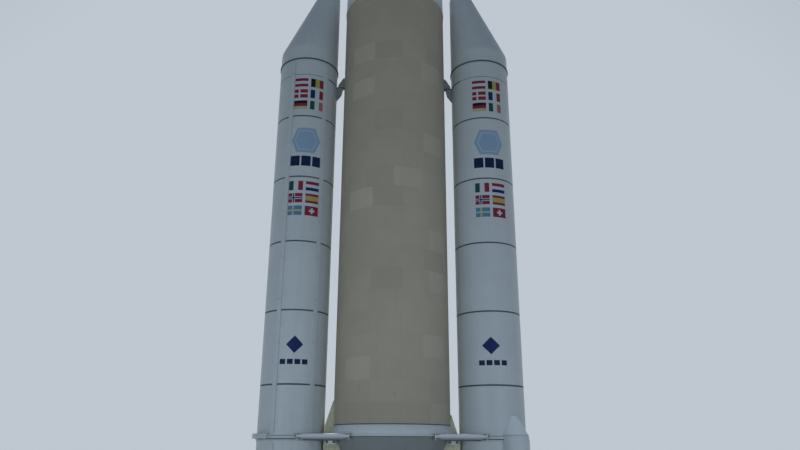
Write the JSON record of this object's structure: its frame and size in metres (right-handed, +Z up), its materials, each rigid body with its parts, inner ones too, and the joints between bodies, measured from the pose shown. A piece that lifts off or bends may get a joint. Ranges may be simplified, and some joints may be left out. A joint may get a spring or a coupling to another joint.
{
  "type": "heavy space launch rocket, 1:2 scale model",
  "caption": "Half-scale heavy space launcher: an insulated core stage between strap-on solid boosters, with aft struts, gimballed nozzles and a split payload fairing.",
  "frame": {"origin": "on the core's axis, at the plane of the boosters' feet", "axes": "+Z up along the rocket, boosters on the X axis, the pictured side towards -Y"},
  "size_m": [6.2928, 2.7, 26],
  "materials": {
    "booster_paint": "satin cool white paint",
    "white_paint": "satin bluish-white paint",
    "fairing_paint": "matt white paint over composite",
    "tank_insulation": "matt tan foam panels",
    "grey_paint": "satin grey paint",
    "steel": "painted and bare steel",
    "nozzle_metal": "dark heat-stained metal"
  },
  "bodies": {
    "airframe": {"core_aft_ring": "white_paint", "core_tank": "tank_insulation", "core_forward_skirt": "white_paint", "upper_stage": "white_paint", "equipment_bay": "grey_paint", "thrust_frame": "grey_paint", "base_heat_shield": "grey_paint", "fairing_half_front": "fairing_paint", "fairing_half_rear": "fairing_paint", "oxygen_feed_line": "tank_insulation", "cable_duct": "tank_insulation", "umbilical_plate": "grey_paint", "left_side_fairing": "tank_insulation", "right_side_fairing": "tank_insulation", "left_core_bracket": "grey_paint", "right_core_bracket": "grey_paint", "left_aft_segment": "booster_paint", "left_middle_segment": "booster_paint", "left_forward_segment": "booster_paint", "left_forward_skirt": "booster_paint", "left_nose_cone": "booster_paint", "left_aft_ring": "booster_paint", "left_aft_skirt": "booster_paint", "left_actuator_fairing": "booster_paint", "left_booster_bracket": "grey_paint", "left_outer_raceway": "booster_paint", "left_inner_raceway": "booster_paint", "left_front_strut": "steel", "left_rear_strut": "steel", "right_aft_segment": "booster_paint", "right_middle_segment": "booster_paint", "right_forward_segment": "booster_paint", "right_forward_skirt": "booster_paint", "right_nose_cone": "booster_paint", "right_aft_ring": "booster_paint", "right_aft_skirt": "booster_paint", "right_actuator_fairing": "booster_paint", "right_booster_bracket": "grey_paint", "right_outer_raceway": "booster_paint", "right_inner_raceway": "booster_paint", "right_front_strut": "steel", "right_rear_strut": "steel"},
    "core_gimbal": {"core_gimbal_cross": "steel"},
    "core_engine": {"core_engine_block": "steel", "core_nozzle": "nozzle_metal"},
    "left_gimbal": {"left_gimbal_cross": "steel"},
    "left_bell": {"left_nozzle": "nozzle_metal"},
    "right_gimbal": {"right_gimbal_cross": "steel"},
    "right_bell": {"right_nozzle": "nozzle_metal"}
  },
  "joints": [
    {"name": "core_engine_tilt", "type": "hinge", "parent": "airframe", "child": "core_gimbal", "pos_m": [0, 0, 2.175], "axis": [1, 0, 0], "range_deg": [-6, 6]},
    {"name": "core_engine_swing", "type": "hinge", "parent": "core_gimbal", "child": "core_engine", "pos_m": [0, 0, 2.175], "axis": [0, 1, 0], "range_deg": [-6, 6]},
    {"name": "left_nozzle_tilt", "type": "hinge", "parent": "airframe", "child": "left_gimbal", "pos_m": [-2.321, 0, 1.7], "axis": [1, 0, 0], "range_deg": [-6, 6]},
    {"name": "left_nozzle_swing", "type": "hinge", "parent": "left_gimbal", "child": "left_bell", "pos_m": [-2.321, 0, 1.7], "axis": [0, 1, 0], "range_deg": [-6, 6]},
    {"name": "right_nozzle_tilt", "type": "hinge", "parent": "airframe", "child": "right_gimbal", "pos_m": [2.321, 0, 1.7], "axis": [1, 0, 0], "range_deg": [-6, 6]},
    {"name": "right_nozzle_swing", "type": "hinge", "parent": "right_gimbal", "child": "right_bell", "pos_m": [2.321, 0, 1.7], "axis": [0, 1, 0], "range_deg": [-6, 6]}
  ]
}
